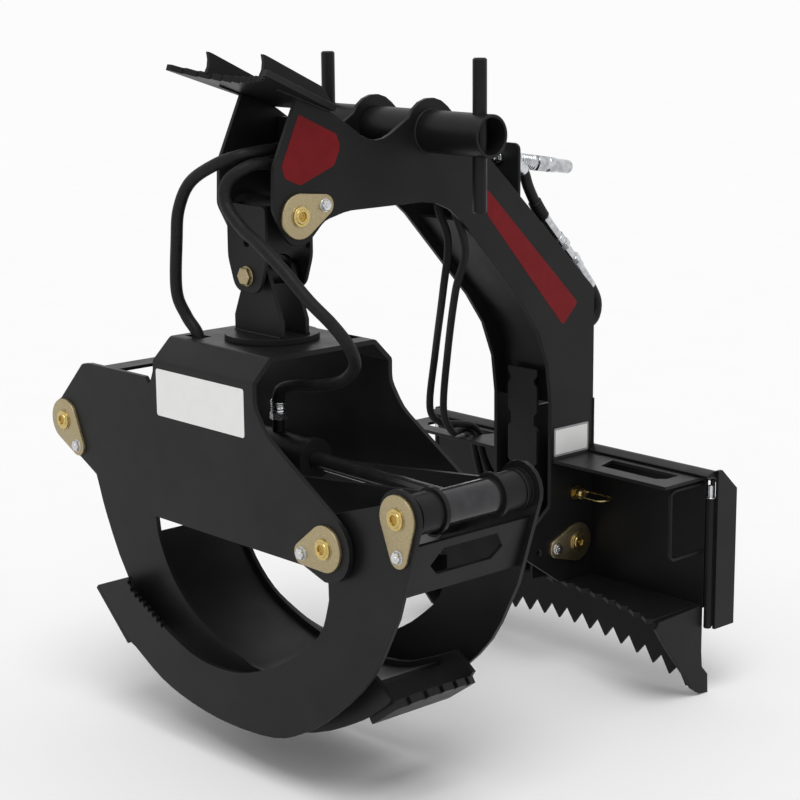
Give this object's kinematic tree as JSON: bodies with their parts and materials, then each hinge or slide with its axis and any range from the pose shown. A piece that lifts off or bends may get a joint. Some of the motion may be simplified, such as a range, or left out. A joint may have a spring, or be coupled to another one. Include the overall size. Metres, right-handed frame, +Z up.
{
  "type": "hydraulic log grapple for a skid-steer loader",
  "caption": "Goose-neck mast on a quick-attach mounting frame, carrying a hanging, swivelling head with two curved, coupled tongs.",
  "frame": {"origin": "centre of the quick-attach face: the rear face of the mounting plate, at mid width and at the height where the mast's lower hole group is centred", "axes": "+Y out of the quick-attach face towards the loader, +X to the right tong's side, +Z up"},
  "size_m": [1.4941, 1.4664, 1.8632],
  "materials": {
    "black_coat": "satin black powder coat",
    "yellow_zinc": "yellow zinc plating",
    "bright_zinc": "bright zinc plating",
    "rod_chrome": "ground and chromed",
    "hose_rubber": "smooth",
    "hose_braid": "braided cover"
  },
  "bodies": {
    "frame": {"mast_plate_left": "black_coat", "mast_plate_right": "black_coat", "mast_arch_web": "black_coat", "mast_inner_post": "black_coat", "mast_rear_web": "black_coat", "nose_bulkhead": "black_coat", "cross_tube": "black_coat", "stake_left": "black_coat", "stake_right": "black_coat", "pusher": "black_coat", "nose_pin": "yellow_zinc", "mount_plate": "black_coat", "mount_lip": "black_coat", "mount_side_left": "black_coat", "mount_side_right": "black_coat", "shelf_left": "black_coat", "shelf_right": "black_coat", "lower_tooth_shelf": "black_coat", "lower_tooth_plate": "black_coat", "end_gusset_left": "black_coat", "end_gusset_right": "black_coat", "grab_handle": "black_coat", "foot_pin": "yellow_zinc", "lock_pin": "yellow_zinc", "coupler_block": "bright_zinc", "hose_a": "hose_rubber", "hose_b": "hose_rubber", "hose_c": "hose_braid", "hose_d": "hose_braid", "hose_e": "hose_rubber"},
    "ring": {"lock_ring": "yellow_zinc"},
    "link": {"link_plate_front": "black_coat", "link_plate_rear": "black_coat", "link_barrel": "black_coat", "cross_bolt": "yellow_zinc"},
    "yoke": {"yoke_plate_front": "black_coat", "yoke_plate_rear": "black_coat", "yoke_barrel": "black_coat", "swivel_disc": "black_coat", "swivel_retainer": "bright_zinc"},
    "head": {"head_shell": "black_coat", "wing_web": "black_coat", "left_tong_pin": "yellow_zinc", "right_tong_pin": "yellow_zinc"},
    "right_tong": {"right_tong_plate_front": "black_coat", "right_tong_plate_rear": "black_coat", "right_tong_box": "black_coat", "right_tong_tip": "black_coat", "lever_pin_front": "yellow_zinc", "lever_pin_rear": "yellow_zinc"},
    "left_tong": {"left_tong_plate_front": "black_coat", "left_tong_plate_rear": "black_coat", "left_tong_web": "black_coat", "left_tong_tip": "black_coat"},
    "tie_link": {"tie_link_front": "black_coat", "tie_link_rear": "black_coat", "link_eye_tube": "black_coat"},
    "cylinder": {"cylinder_barrel": "black_coat"},
    "rod": {"cylinder_rod": "rod_chrome"}
  },
  "joints": [
    {"name": "nose_swing", "type": "hinge", "parent": "frame", "child": "link", "pos_m": [0, -1.1275, 1.021], "axis": [-1, 0, 0], "range_deg": [-10, 35], "deforming": ["hose_a", "hose_b"]},
    {"name": "cross_tilt", "type": "hinge", "parent": "link", "child": "yoke", "pos_m": [0, -1.1275, 0.864], "axis": [0, 1, 0], "range_deg": [-20, 20]},
    {"name": "head_swivel", "type": "hinge", "parent": "yoke", "child": "head", "pos_m": [0, -1.1275, 0.694], "axis": [0, 0, 1], "range_deg": [-90, 90]},
    {"name": "right_tong_hinge", "type": "hinge", "parent": "head", "child": "right_tong", "pos_m": [0.48, -1.1275, 0.272], "axis": [0, -1, 0], "range_deg": [0, 85]},
    {"name": "left_tong_hinge", "type": "hinge", "parent": "head", "child": "left_tong", "pos_m": [-0.635, -1.1275, 0.409], "axis": [0, 1, 0], "range_deg": [-0.5, 57]},
    {"name": "tie_link_pivot", "type": "hinge", "parent": "right_tong", "child": "tie_link", "pos_m": [0.712, -1.1275, 0.388], "axis": [0, -1, 0], "range_deg": [-69.5, 0.5]},
    {"name": "cylinder_pivot", "type": "hinge", "parent": "head", "child": "cylinder", "pos_m": [-0.635, -1.1275, 0.409], "axis": [0, -1, 0], "range_deg": [-0.5, 9.5]},
    {"name": "rod_slide", "type": "slide", "parent": "cylinder", "child": "rod", "axis": [0.9999, 0, -0.0156], "range_m": [-0.3065, 0.0005]},
    {"name": "ring_hinge", "type": "hinge", "parent": "frame", "child": "ring", "pos_m": [0.1395, -0.088, 0.105], "axis": [0, 1, 0], "range_deg": [-60, 88]}
  ],
  "couplings": [
    {"joint": "left_tong_hinge", "follows": "right_tong_hinge", "ratio": 0.66},
    {"joint": "tie_link_pivot", "follows": "right_tong_hinge", "ratio": -0.8066},
    {"joint": "cylinder_pivot", "follows": "right_tong_hinge", "ratio": 0.1019},
    {"joint": "rod_slide", "follows": "right_tong_hinge", "m_per_rad": -0.2057}
  ]
}
